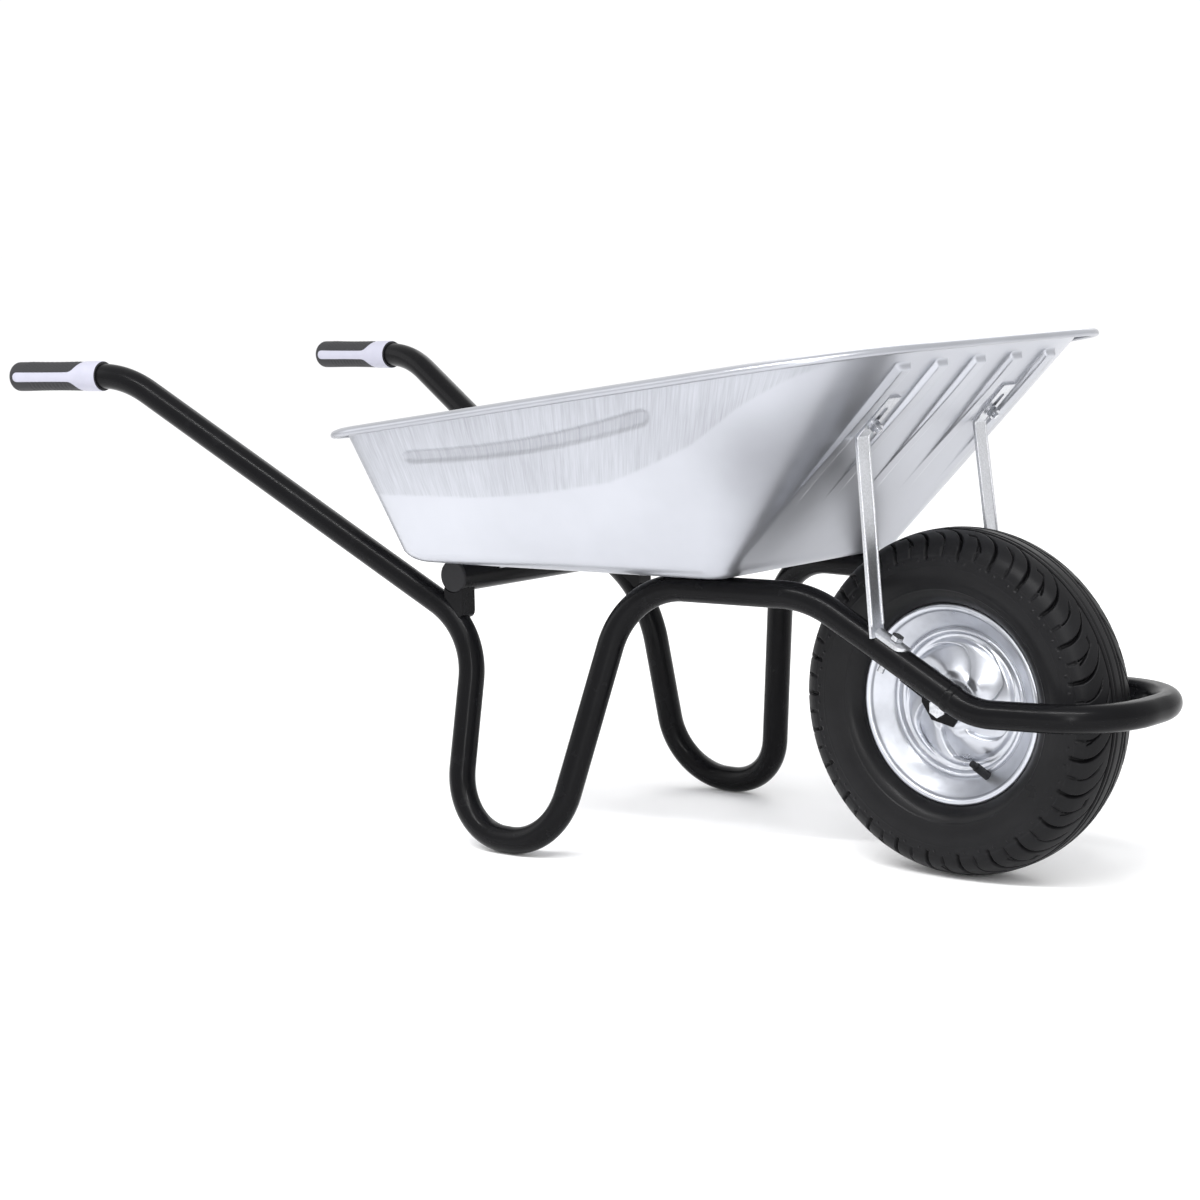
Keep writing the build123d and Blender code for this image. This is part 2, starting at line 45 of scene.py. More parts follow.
# everything is modelled in millimetres in the row frame and turned to metres when a mesh is made
mm = 0.001
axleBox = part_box("axle_sleeve")
axle = np.array((axleBox[0] + axleBox[1]) / 2) / mm
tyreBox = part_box("tyre")
crownR = (tyreBox[1].z - tyreBox[0].z) / 2 / mm


# shader maths: a wrapped socket that takes plain arithmetic
class Value:
    def __init__(self, tree, socket):
        self.tree = tree
        self.socket = socket

    def make(self, kind, settings=None, inputs=None, output=0):
        node = self.tree.nodes.new("ShaderNode" + kind)
        for key, item in (settings or {}).items():
            setattr(node, key, item)
        for key, item in (inputs or {}).items():
            feed(self.tree, node.inputs[key], item)
        return Value(self.tree, node.outputs[output])

    def maths(self, operation, first, second=0.0):
        return self.make("Math", {"operation": operation}, {0: first, 1: second})

    def __add__(self, other):
        return self.maths("ADD", self, other)

    def __radd__(self, other):
        return self.maths("ADD", other, self)

    def __sub__(self, other):
        return self.maths("SUBTRACT", self, other)

    def __rsub__(self, other):
        return self.maths("SUBTRACT", other, self)

    def __mul__(self, other):
        return self.maths("MULTIPLY", self, other)

    def __rmul__(self, other):
        return self.maths("MULTIPLY", other, self)

    def smooth(self, low, high):
        # 0 below low, 1 above high and an eased step between them
        values = {"Value": self, "From Min": low, "From Max": high}
        return self.make("MapRange", {"interpolation_type": "SMOOTHSTEP"}, values)

    def noise(self, scale, detail=3.0, rough=0.55):
        inputs = {"Vector": self, "Scale": scale, "Detail": detail, "Roughness": rough}
        return self.make("TexNoise", {}, inputs)

    def cells(self, scale):
        return self.make("TexVoronoi", {}, {"Vector": self, "Scale": scale})

    def blend(self, low, high):
        # this value picks between two colours
        return self.make("Mix", {"data_type": "RGBA"}, {0: self, 6: low, 7: high}, 2)

    def bump(self, strength, distance):
        return self.make("Bump", {}, {"Height": self, "Strength": strength, "Distance": distance * mm})

    def attribute(self, name):
        return self.make("Attribute", {"attribute_name": name}, {}, 2)


def feed(tree, socket, item):
    if isinstance(item, Value):
        tree.links.new(item.socket, socket)
    elif isinstance(item, tuple) and len(item) == 3 and socket.type == "RGBA":
        socket.default_value = (*item, 1.0)
    else:
        socket.default_value = item


def makeMaterial(name, recipe, look):
    material = bpy.data.materials.new(name)
    material.use_nodes = True
    tree = material.node_tree
    shader = tree.nodes["Principled BSDF"]
    place = Value(tree, tree.nodes.new("ShaderNodeTexCoord").outputs["Object"])
    for key, item in recipe(place, look).items():
        feed(tree, shader.inputs[key], item)
    return material


def metalRecipe(place, look):
    cloud = place.noise(look["cloud"], 4.0)
    fine = place.noise(look["grain"], 2.0)
    grains = place.cells(look["spangle"])
    mixed = (cloud * 0.6 + grains * 0.4).smooth(0.2, 0.75)
    return {
        "Base Color": mixed.blend(look["dark"], look["light"]),
        "Metallic": look["metal"],
        "Roughness": look["rough"] + (cloud - 0.5) * look["roughVary"] + (fine - 0.5) * 0.06,
        "Normal": (fine * 0.7 + grains * 0.3).bump(look["bump"], look["bumpHeight"]),
    }


def paintRecipe(place, look):
    cloud = place.noise(look["cloud"], 3.0)
    peel = place.noise(look["peel"], 2.0)
    dust = place.noise(look["dust"], 5.0).smooth(0.55, 0.8)
    return {
        "Base Color": (dust * 0.5 + cloud * 0.5).blend(look["dark"], look["light"]),
        "Roughness": look["rough"] + (cloud - 0.5) * look["roughVary"] + dust * 0.08,
        "Specular IOR Level": look["shine"],
        "Coat Weight": look["coat"],
        "Coat Roughness": look["coatRough"],
        "Normal": peel.bump(look["bump"], look["bumpHeight"]),
    }


def rubberRecipe(place, look):
    cloud = place.noise(look["cloud"], 4.0)
    fine = place.noise(look["grain"], 3.0)
    shade = (cloud * 0.7 + fine * 0.3).blend(look["dark"], look["light"])
    return {
        "Base Color": shade,
        "Roughness": look["rough"] + (cloud - 0.5) * look["roughVary"] + (fine - 0.5) * 0.1,
        "Specular IOR Level": look["shine"],
        "Normal": fine.bump(look["bump"], look["bumpHeight"]),
    }


metalLook = {
    "cloud": 14.0, "grain": 1500.0, "spangle": 260.0,
    "dark": (0.50, 0.51, 0.55), "light": (0.74, 0.75, 0.79),
    "metal": 0.95, "rough": 0.34, "roughVary": 0.16, "bump": 0.12, "bumpHeight": 0.12,
}
paintLook = {
    "cloud": 9.0, "peel": 420.0, "dust": 45.0,
    "dark": (0.003, 0.003, 0.0035), "light": (0.007, 0.007, 0.008),
    "rough": 0.25, "roughVary": 0.12, "shine": 0.08, "coat": 0.02, "coatRough": 0.1,
    "bump": 0.10, "bumpHeight": 0.12,
}
rubberLook = {
    "cloud": 18.0, "grain": 900.0, "dark": (0.006, 0.006, 0.007), "light": (0.016, 0.016, 0.018),
    "shine": 0.2, "rough": 0.55, "roughVary": 0.16, "bump": 0.25, "bumpHeight": 0.15,
}

framePaint = makeMaterial("framePaint", paintRecipe, paintLook)
fittingZinc = makeMaterial("fittingZinc", metalRecipe, {
    **metalLook, "dark": (0.46, 0.47, 0.49), "light": (0.62, 0.63, 0.66), "rough": 0.32,
    "spangle": 420.0})
boltZinc = makeMaterial("boltZinc", metalRecipe, {
    **metalLook, "dark": (0.34, 0.35, 0.37), "light": (0.60, 0.61, 0.64), "rough": 0.24, "cloud": 60.0})
bearingSteel = makeMaterial("bearingSteel", metalRecipe, {
    **metalLook, "dark": (0.48, 0.48, 0.50), "light": (0.70, 0.70, 0.72), "rough": 0.18, "bump": 0.05})
tubeRubber = makeMaterial("tubeRubber", rubberRecipe, {**rubberLook, "grain": 300.0})
valveRubber = makeMaterial("valveRubber", rubberRecipe, {**rubberLook, "rough": 0.48, "cloud": 90.0})
capPlastic = makeMaterial("capPlastic", rubberRecipe, {**rubberLook, "rough": 0.38, "bump": 0.12})
plugPlastic = makeMaterial("plugPlastic", rubberRecipe, {**rubberLook, "rough": 0.42, "grain": 600.0})

# the CAD nodes that stay on show
nodeFinish = (
    (fittingZinc, ("tray_rear_hooks", "brace_left", "brace_right")),
    (boltZinc, (
        "brace_top_bolts", "brace_top_washers", "brace_top_nuts", "brace_foot_bolts", "axle_bolt",
        "axle_washer", "axle_nut", "axle_spacers", "axle_sleeve")),
    (bearingSteel, (
        "hub_tube", "bearing_inner_rings", "bearing_outer_rings", "bearing_balls", "bearing_covers")),
    (framePaint, (
        "rear_cross_tube", "cross_tube_gusset_left", "cross_tube_gusset_right", "axle_bracket_left",
        "axle_bracket_right")),
    (tubeRubber, ("inner_tube",)),
    (valveRubber, ("valve_stem",)),
    (capPlastic, ("valve_cap",)),
    (plugPlastic, ("cross_tube_plugs",)),
)
for material, names in nodeFinish:
    for name in names:
        nodes[name].data.materials.clear()
        nodes[name].data.materials.append(material)
print("materials made")


# mesh helpers
def gridMesh(name, points, material, wrapCols=False, flip=False):
    # one quad between each two rows and columns; wrapCols joins the last column to the first
    rows, cols = points.shape[:2]
    r, c = np.meshgrid(np.arange(rows - 1), np.arange(cols if wrapCols else cols - 1), indexing="ij")
    nextC = (c + 1) % cols
    here, below = r * cols, (r + 1) * cols
    quads = np.stack([here + c, here + nextC, below + nextC, below + c], -1).reshape(-1, 4)
    if flip:
        quads = quads[:, ::-1]
    mesh = bpy.data.meshes.new(name)
    mesh.vertices.add(rows * cols)
    mesh.vertices.foreach_set("co", (points.reshape(-1) * mm).astype(np.float32))
    mesh.loops.add(quads.size)
    mesh.loops.foreach_set("vertex_index", quads.reshape(-1).astype(np.int32))
    mesh.polygons.add(len(quads))
    mesh.polygons.foreach_set("loop_start", np.arange(0, quads.size, 4, dtype=np.int32))
    mesh.polygons.foreach_set("use_smooth", np.ones(len(quads), dtype=bool))
    mesh.update(calc_edges=True)
    mesh.validate()
    mesh.materials.append(material)
    piece = bpy.data.objects.new(name, mesh)
    bpy.context.scene.collection.objects.link(piece)
    return piece


def unit(vector):
    return vector / np.linalg.norm(vector)


def sheetNormals(points):
    # the columns of the sheet run round in a ring
    n = np.cross(np.gradient(points, axis=0), np.roll(points, -1, 1) - np.roll(points, 1, 1))
    return n / np.maximum(np.linalg.norm(n, axis=-1, keepdims=True), 1e-9)


def paintOn(piece, name, values):
    layer = piece.data.attributes.new(name, "FLOAT", "POINT")
    layer.data.foreach_set("value", values.reshape(-1).astype(np.float32))


def thicken(piece, sheet, offset):
    solid = piece.modifiers.new("sheet", "SOLIDIFY")
    solid.thickness = sheet * mm
    solid.offset = offset


def eased(x, low, high):
    t = np.clip((x - low) / (high - low), 0, 1)
    return t * t * (3 - 2 * t)


def window(x, band):
    # rises over the first two places of the band and falls over the last two
    return eased(x, band[0], band[1]) * (1 - eased(x, band[2], band[3]))


def settle(piece, body, slot, *replaced):
    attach(piece, body)
    if replaced:
        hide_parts(*replaced)


# tray: a deep-drawn sheet with five ribs up the front, a shallow band on each side and a folded rim
tray = {
    "sheet": 1.2, "floorZ": 340.0, "floorRear": -132.0, "floorFront": 290.0,
    "floorRearWidth": 434.0, "floorFrontWidth": 330.0, "floorRearCorner": 34.0, "floorFrontCorner": 20.0,
    "floorEdge": 26.0, "edgeTurn": 60.0, "edgeRows": 9, "middleZ": 520.0,
    "mouthX": 556.0, "mouthZ": 612.0, "mouthLength": 766.1, "mouthWidth": 594.0,
    "mouthRearCorner": 72.0, "mouthFrontCorner": 150.0, "slope": 8.36,
    "ribPlaces": (0.0, 78.0, -78.0, 152.0, -152.0), "ribHalf": 12.0, "ribFlank": 3.0, "ribDepth": 6.5,
    "ribStart": 0.26, "ribFull": 0.86, "ribEnd": 0.905, "ribStep": 0.008,
    "bandFrom": -86.0, "bandTo": 284.0, "bandHalf": 0.044, "bandEnd": 14.0, "bandDepth": 3.2,
    "bandEdge": (0.7, 1.1), "bandToneEdge": (0.6, 1.15), "bandShade": 0.36, "foldDark": 0.55,
    "sideFromY": 200.0, "sideToX": 400.0,
    "bandMiddle": ((-86.0, -30.0, 30.0, 90.0, 150.0, 210.0, 284.0),
                   (0.728, 0.714, 0.710, 0.716, 0.736, 0.766, 0.812)),
    "brushedAbove": ((-160.0, 11.0, 99.0, 202.0, 263.0, 327.0, 402.0, 463.0, 509.0),
                     (0.47, 0.41, 0.425, 0.47, 0.55, 0.64, 0.80, 0.90, 0.955)),
    "brushedSoft": 0.010, "brushedEnd": (470.0, 530.0),
    "cornerShadeX": (300.0, 400.0), "cornerShadeY": (140.0, 190.0), "cornerShadeUp": (0.55, 0.95),
}
arcCounts = (28, 52, 52, 28)             # columns round each corner, from the rear right
straightCounts = (140, 260, 140, 70)     # right side, front, left side, rear
floorScales = (0.004, 0.2, 0.4, 0.6, 0.75, 0.87, 0.95, 0.985)
wallShares = (*np.linspace(0.02, 0.86, 64), *np.linspace(0.868, 0.94, 16), 0.955, 0.97, 0.982)


def roundedOutline(corners, radii):
    corners = [np.array(c, float) for c in corners]
    arcs = []
    for k, corner in enumerate(corners):
        toBefore = unit(corners[k - 1] - corner)
        toAfter = unit(corners[(k + 1) % 4] - corner)
        half = math.acos(float(toBefore @ toAfter)) / 2
        middle = toBefore + toAfter
        centre = corner + unit(middle) * radii[k] / math.sin(half)
        start = corner + toBefore * radii[k] / math.tan(half) - centre
        turn = math.pi - 2 * half
        share = np.linspace(0, 1, arcCounts[k], endpoint=False)
        angles = math.atan2(start[1], start[0]) + turn * share
        end = corner + toAfter * radii[k] / math.tan(half)
        around = np.stack([np.cos(angles), np.sin(angles)], -1)
        arcs.append((centre + radii[k] * around, centre + start, end))
    parts = []
    for k in range(4):
        share = np.linspace(0, 1, straightCounts[k], endpoint=False)[:, None]
        parts.append(arcs[k][0])
        parts.append(arcs[k][2] + (arcs[(k + 1) % 4][1] - arcs[k][2]) * share)
    return np.concatenate(parts)


def outlineOf(rear, front, rearWidth, frontWidth, rearCorner, frontCorner):
    corners = [
        (rear, -rearWidth / 2), (front, -frontWidth / 2), (front, frontWidth / 2), (rear, rearWidth / 2)]
    return roundedOutline(corners, (rearCorner, frontCorner, frontCorner, rearCorner))


def floorRow(grow, rise):
    flat = outlineOf(
        tray["floorRear"] - grow, tray["floorFront"] + grow,
        tray["floorRearWidth"] + 2 * grow, tray["floorFrontWidth"] + 2 * grow,
        tray["floorRearCorner"] + grow / 2, tray["floorFrontCorner"] + grow / 2)
    return np.column_stack([flat, np.full(len(flat), tray["floorZ"] + rise)])


def mouthRow(grow, lift):
    width = tray["mouthWidth"] + 2 * grow
    flat = outlineOf(
        -tray["mouthLength"] - grow, grow, width, width,
        tray["mouthRearCorner"] + grow, tray["mouthFrontCorner"] + grow)
    slope = math.radians(tray["slope"])
    x = tray["mouthX"] + flat[:, 0] * math.cos(slope) - lift * math.sin(slope)
    z = tray["mouthZ"] + flat[:, 0] * math.sin(slope) + lift * math.cos(slope)
    return np.column_stack([x, flat[:, 1], z])


# the folded rim: how far out of the mouth and how far above its plane
foldProfile = (
    (0.6, -3.4), (1.6, -1.9), (3.2, -1.3), (6.0, -1.5), (9.5, -2.2), (13.0, -3.2), (15.4, -4.4),
    (16.6, -6.2), (16.8, -8.0), (16.0, -9.6), (14.6, -10.2), (13.2, -9.6), (12.8, -8.2))


def trayRows():
    # from the middle of the floor up the walls to the fold; share is -1 on the floor and 1 at the mouth
    base = floorRow(0, 0)
    middle = np.array([(tray["floorRear"] + tray["floorFront"]) / 2, 0, tray["floorZ"]])
    rows = [(-1.0, middle + (base - middle) * scale) for scale in floorScales]
    for turn in np.radians(np.linspace(0, tray["edgeTurn"], tray["edgeRows"])):
        grow, rise = tray["floorEdge"] * math.sin(turn), tray["floorEdge"] * (1 - math.cos(turn))
        rows.append((0.0, floorRow(grow, rise)))
    low = rows[-1][1]
    high = mouthRow(0, 0)
    rows += [(share, low + (high - low) * share) for share in wallShares]
    rows += [(1.0, mouthRow(grow, lift)) for grow, lift in foldProfile]
    points = np.array([row for share, row in rows])
    shares = np.array([share for share, row in rows])
    return points, np.repeat(shares[:, None], points.shape[1], 1)


def ribPush(y, share):
    # flat tops, deepest at their upper ends and fading out on the way down
    end, step = tray["ribEnd"], tray["ribStep"]
    rise = window(share, (tray["ribStart"], tray["ribFull"], end - step, end + step))
    push = np.zeros(y.shape)
    for place in tray["ribPlaces"]:
        rib = 1 - eased(np.abs(y - place), tray["ribHalf"] - tray["ribFlank"], tray["ribHalf"])
        push += rib * rise * tray["ribDepth"]
    return push


def fromBand(x, share):
    # 0 along the middle of a side band and 1 at its edge, with rounded ends
    middle = (tray["bandFrom"] + tray["bandTo"]) / 2
    half = (tray["bandTo"] - tray["bandFrom"]) / 2
    beyond = np.maximum(0, np.abs(x - middle) - half + tray["bandEnd"])
    across = (share - np.interp(x, *tray["bandMiddle"])) / tray["bandHalf"]
    return np.hypot(beyond / tray["bandEnd"], across)


def buildTray():
    points, share = trayRows()
    normal = sheetNormals(points)
    wallRow = 40     # any row on the walls tells which way the normals face
    outward = points[wallRow] - np.array([tray["floorFront"] / 2, 0, tray["middleZ"]])
    facesOut = (normal[wallRow] * outward).sum() > 0
    normal = normal if facesOut else -normal
    x, y = points[..., 0], points[..., 1]
    onWall = (share > 0.01) & (share < 0.99)
    side = onWall & (np.abs(y) > tray["sideFromY"]) & (x < tray["sideToX"])
    band = fromBand(x, share)
    push = np.where(onWall & (x > tray["floorFront"]), ribPush(y, share), 0)
    push -= np.where(side, (1 - eased(band, *tray["bandEdge"])) * tray["bandDepth"], 0)
    points = points + normal * push[..., None]
    piece = gridMesh("traySheet", points, trayZinc, wrapCols=True, flip=facesOut)
    # where the sheet was drawn hard it keeps vertical brush lines, above a curve that rises to the front
    limit = np.interp(x, *tray["brushedAbove"])
    soft = tray["brushedSoft"]
    brushed = np.where(onWall, eased(share - limit, -soft, soft), 0)
    brushed = brushed * (1 - eased(x, *tray["brushedEnd"]))
    # painted shade on both front corners of the wall: full up to about halfway, fading out towards the
    # mouth
    atCorner = eased(x, *tray["cornerShadeX"]) * eased(np.abs(y), *tray["cornerShadeY"])
    cornerShade = atCorner * (1 - eased(share, *tray["cornerShadeUp"]))
    paintOn(piece, "brushed", brushed)
    paintOn(piece, "cornerShade", np.where(onWall, cornerShade, 0))
    # painted shade: the band is painted darker in its hollow, and the folded rim at the top is painted
    # darker too
    bandShadeFoldDark = np.where(side, 1 - eased(band, *tray["bandToneEdge"]), 0) * tray["bandShade"]
    paintOn(piece, "bandShadeFoldDark", bandShadeFoldDark + (share > 0.99) * tray["foldDark"])
    # brush lines follow the columns of the sheet, so each knows how far round the mouth it stands
    mouth = mouthRow(0, 0)
    gone = np.concatenate([[0], np.cumsum(np.linalg.norm(np.diff(mouth, axis=0), axis=1))])
    paintOn(piece, "round", np.repeat(gone[None, :], len(points), 0) * mm)
    paintOn(piece, "up", share)
    thicken(piece, tray["sheet"], -1)
    settle(piece, "frame", "tray_zinc", "tray")


def trayRecipe(place, look):
    cloud = place.noise(look["cloud"], 4.0)
    fine = place.noise(look["grain"], 2.0)
    sheetPlace = place.make("CombineXYZ", {}, {
        0: place.attribute("round"), 1: place.attribute("up") * look["streakRun"]})
    streak = sheetPlace.noise(look["streaks"], 3.0)
    broad = sheetPlace.noise(look["broadStreaks"], 2.0)
    brushed = place.attribute("brushed")
    cornerShade = place.attribute("cornerShade")
    bandShadeFoldDark = place.attribute("bandShadeFoldDark")
    lines = (streak * 0.5 + broad * 0.5 - 0.5) * brushed
    # painted shade: the front corners and the side bands are made darker, and the folded rim is made
    # darker too
    tone = cloud * look["cloudTone"] + look["tone"] - brushed * look["brushedTone"]
    tone = tone + lines * look["lineTone"] - cornerShade * look["cornerShadeTone"] - bandShadeFoldDark * look["bandShadeFoldDarkTone"]
    tone = tone.smooth(0.0, 1.0)
    return {
        "Base Color": tone.blend(look["dark"], look["light"]),
        "Metallic": look["metal"],
        "Roughness": look["rough"] + brushed * 0.12 + lines * 0.25 + (cloud - 0.5) * look["roughVary"],
        "Normal": (fine * 0.4 + lines * 1.2).bump(look["bump"], look["bumpHeight"]),
    }


trayZinc = makeMaterial("trayZinc", trayRecipe, {
    "cloud": 5.0, "grain": 1400.0, "streaks": 520.0, "broadStreaks": 240.0, "streakRun": 0.012,
    "dark": (0.22, 0.225, 0.245), "light": (0.54, 0.555, 0.60), "metal": 0.82,
    "tone": 0.46, "cloudTone": 0.35, "brushedTone": 0.10, "lineTone": 0.75, "cornerShadeTone": 0.26,
    "bandShadeFoldDarkTone": 0.30, "rough": 0.33, "roughVary": 0.10, "bump": 0.10, "bumpHeight": 0.10})
buildTray()
print("tray made")

# frame tubes: the two side tubes and the nose loop
tubes = {
    "radius": 16.0, "ringCount": 56, "step": 4.0,
    "side": (
        (-764.0, 286.2, 552.1), (-576.0, 267.0, 556.0), (-74.0, 168.7, 256.0), (-67.0, 221.5, 16.0),
        (85.0, 221.5, 16.0), (151.0, 153.7, 324.0), (392.0, 131.0, 324.0)),
    "sideBends": (140.0, 105.0, 80.0, 80.0, 95.0, 130.0), "noseBend": (593.0, 112.0, 207.5),
    "noseCorner": (751.0, 92.0, 210.0), "noseBends": (85.0, 91.0, 91.0, 85.0), "weldBack": 30.0,
    "beadHeight": 1.3, "beadHalf": 4.0, "beadTail": 2.0, "beadSunk": 0.3, "beadUneven": 0.05,
}


def filletedRoute(route, radii, step):
    route = [np.array(p, float) for p in route]
    out = [route[0]]
    for k in range(1, len(route) - 1):
        toBefore = unit(route[k - 1] - route[k])
        toAfter = unit(route[k + 1] - route[k])
        half = math.acos(float(toBefore @ toAfter)) / 2
        middle = toBefore + toAfter
        centre = route[k] + unit(middle) * radii[k - 1] / math.sin(half)
        start = route[k] + toBefore * radii[k - 1] / math.tan(half) - centre
        end = route[k] + toAfter * radii[k - 1] / math.tan(half) - centre
        turn = math.pi - 2 * half
        count = max(8, int(radii[k - 1] * turn / step))
        for t in np.linspace(0, 1, count):
            swung = (start * math.sin((1 - t) * turn) + end * math.sin(t * turn)) / math.sin(turn)
            out.append(centre + swung)
    out.append(route[-1])
    # even steps along the straights too, so that bumps along the tube keep their shape
    out = np.array(out)
    keep = np.concatenate([[True], np.linalg.norm(np.diff(out, axis=0), axis=1) > 1e-6])
    out = out[keep]
    gone = np.concatenate([[0], np.cumsum(np.linalg.norm(np.diff(out, axis=0), axis=1))])
    even = np.linspace(0, gone[-1], int(gone[-1] / step) + 2)
    return np.stack([np.interp(even, gone, out[:, axis]) for axis in range(3)], -1), even


def tubeAround(name, line, radii, material, closeEnds=True):
    heading = np.gradient(line, axis=0)
    heading /= np.linalg.norm(heading, axis=1, keepdims=True)
    side = unit(np.cross(heading[0], (0.0, 0.0, 1.0)))
    rings = []
    angles = np.linspace(0, 2 * math.pi, tubes["ringCount"], endpoint=False)
    for k, point in enumerate(line):
        side = unit(side - heading[k] * float(side @ heading[k]))
        up = np.cross(side, heading[k])
        around = np.cos(angles)[:, None] * side + np.sin(angles)[:, None] * up
        rings.append(point + around * radii[k])
    if closeEnds:
        rings.insert(0, np.repeat(line[:1], len(angles), 0) + (rings[0] - line[0]) * 0.9)
        rings.append(line[-1] + (rings[-1] - line[-1]) * 0.9)
    return gridMesh(name, np.array(rings), material, wrapCols=True)


def buildTubes():
    # the weld lies a little way back from the loop's bend
    bend = np.array(tubes["noseBend"])
    fall = unit(bend - np.array(tubes["side"][-1]))
    weld = bend - fall * tubes["weldBack"]
    for name, sign in (("left", 1), ("right", -1)):
        flip = np.array((1, sign, 1))
        route = [np.array(p) * flip for p in (*tubes["side"], weld)]
        line, gone = filletedRoute(route, tubes["sideBends"], tubes["step"])
        radii = np.full(len(line), tubes["radius"])
        piece = tubeAround("sideTube_" + name, line, radii, framePaint)
        settle(piece, "frame", "frame_paint", "frame_tube_" + name)
    mirror = np.array((1, -1, 1))
    half = [weld, bend, np.array(tubes["noseCorner"])]
    route = half + [p * mirror for p in half[::-1]]
    line, gone = filletedRoute(route, tubes["noseBends"], tubes["step"])
    piece = tubeAround("noseLoop", line, np.full(len(line), tubes["radius"]), framePaint)
    settle(piece, "frame", "frame_paint", "nose_loop_tube")
    # the weld beads between the loop and the side tubes, painted over
    reach = tubes["beadHalf"] + tubes["beadTail"]
    chance = np.random.default_rng(4)
    for name, sign in (("left", 1), ("right", -1)):
        flip = np.array((1, sign, 1))
        along = np.linspace(-reach, reach, 21)
        line = (weld + fall * along[:, None]) * flip
        shape = np.sqrt(np.maximum(0, 1 - (along / (tubes["beadHalf"] + 1)) ** 2))
        radii = tubes["radius"] - tubes["beadSunk"] + tubes["beadHeight"] * shape
        radii = radii + chance.normal(0, tubes["beadUneven"], len(along))
        bead = tubeAround("weldBead_" + name, line, radii, framePaint, closeEnds=False)
        settle(bead, "frame", "frame_paint")


buildTubes()
print("tubes made")

# braces: raised edges that make a shallow channel of each strip
brace = {
    "edge": 1.7, "edgeLeft": 10.7, "sheet": 3.0, "upTab": 15.0, "bend": 6.0, "step": 1.5,
    "taper": 4.0,
    "foot": (478.5, 128.5, 296.5), "top": (454.9, 121.0, 505.8), "wallUp": (0.6895, 0.0, 0.7244),
}


def buildBraceEdges():
    foot, top, wallUp = (np.array(brace[k]) for k in ("foot", "top", "wallUp"))
    for name, sign in (("left", 1), ("right", -1)):
        flip = np.array((1, sign, 1))
        for number, shift in enumerate((-brace["edgeLeft"], brace["edgeLeft"])):
            low = (foot + (brace["sheet"], shift, 0)) * flip
            bend = (top + (brace["sheet"] * 1.1, shift, -1.0)) * flip
            route = [low, bend, bend + wallUp * brace["upTab"]]
            line, gone = filletedRoute(route, (brace["bend"],), brace["step"])
            fromEnd = np.minimum(gone, gone[-1] - gone) / brace["taper"]
            radii = brace["edge"] * np.sqrt(np.clip(fromEnd, 0.02, 1))
            piece = tubeAround("braceEdge_%s_%d" % (name, number), line, radii, fittingZinc)
            settle(piece, "frame", "fitting_zinc")


buildBraceEdges()
print("brace edges made")

# tyre: a smooth casing with a cut tread
# (its bands are distances over the crown from the centre line)
tyre = {
    "pitches": 26, "perPitch": 48, "across": 190, "treadDepth": 6.5, "treadEnd": (61.0, 68.0),
    "shoulder": (46.0, 60.0), "shoulderLoss": 0.45, "shoulderEnd": 54.0,
    "centreGroove": 6.5, "centreWidth": 1.5, "ringDepth": 0.85,
    "outerRib": 13.5, "sweep": 62.0, "grooveHalf": 1.7,
    "sipeHalf": 1.2, "sipeDepth": 0.8, "sipeBand": (27.0, 28.5, 48.0, 50.0),
    "cornerArc": 28.0, "cornerFrom": 5.0, "cornerHalf": 6.2,
    "slantHalf": 0.9, "slantDepth": 0.7, "slantLean": 0.35, "slantArc": 36.0,
    "slantBand": (24.0, 26.0, 47.0, 49.0),
    "notchHalf": 1.5, "notchDepth": 0.45, "notchBand": (49.0, 53.0, 60.0, 64.0),
    "wallStep": 0.9, "wallBand": (60.5, 62.5, 92.0, 100.0), "wallShade": (58.0, 62.0),
    # height, place, half width and softness of each line
    "wallLines": ((0.5, 100.0, 0.8, 0.8), (0.35, 74.0, 0.5, 0.6)),
    "nubs": 52, "nubArc": 67.0, "nubR": 150.0, "nubHeight": 1.2, "nubHalf": 0.7, "nubLong": 1.2,
}
tyreProfile = (
    (24.5, 104.5), (26.8, 110.0), (29.5, 114.5), (36.0, 118.5), (44.0, 126.0), (49.6, 137.0),
    (52.3, 150.0), (51.6, 163.0), (49.2, 173.0), (46.0, 180.5), (40.5, 187.2), (33.0, 192.0),
    (22.0, 195.8), (11.0, 197.6), (0.0, 198.0))


def smoothLine(points, count):
    # a Catmull-Rom line through the points, in even steps
    p = np.array(points, float)
    p = np.concatenate([[2 * p[0] - p[1]], p, [2 * p[-1] - p[-2]]])
    out = []
    for k in range(1, len(p) - 2):
        t = np.linspace(0, 1, 24, endpoint=False)[:, None]
        a, b, c, d = p[k - 1], p[k], p[k + 1], p[k + 2]
        curve = (2 * a - 5 * b + 4 * c - d) * t ** 2 + (3 * b - a - 3 * c + d) * t ** 3
        out.append(0.5 * (2 * b + (c - a) * t + curve))
    out = np.concatenate(out + [p[-2:-1]])
    gone = np.concatenate([[0], np.cumsum(np.linalg.norm(np.diff(out, axis=0), axis=1))])
    even = np.linspace(0, gone[-1], count)
    return np.stack([np.interp(even, gone, out[:, 0]), np.interp(even, gone, out[:, 1])], -1), even


def cut(distance, half, soft=0.9):
    # 1 inside a groove of that half width, with sloped sides
    return 1 - eased(np.abs(distance), half - soft / 2, half + soft)


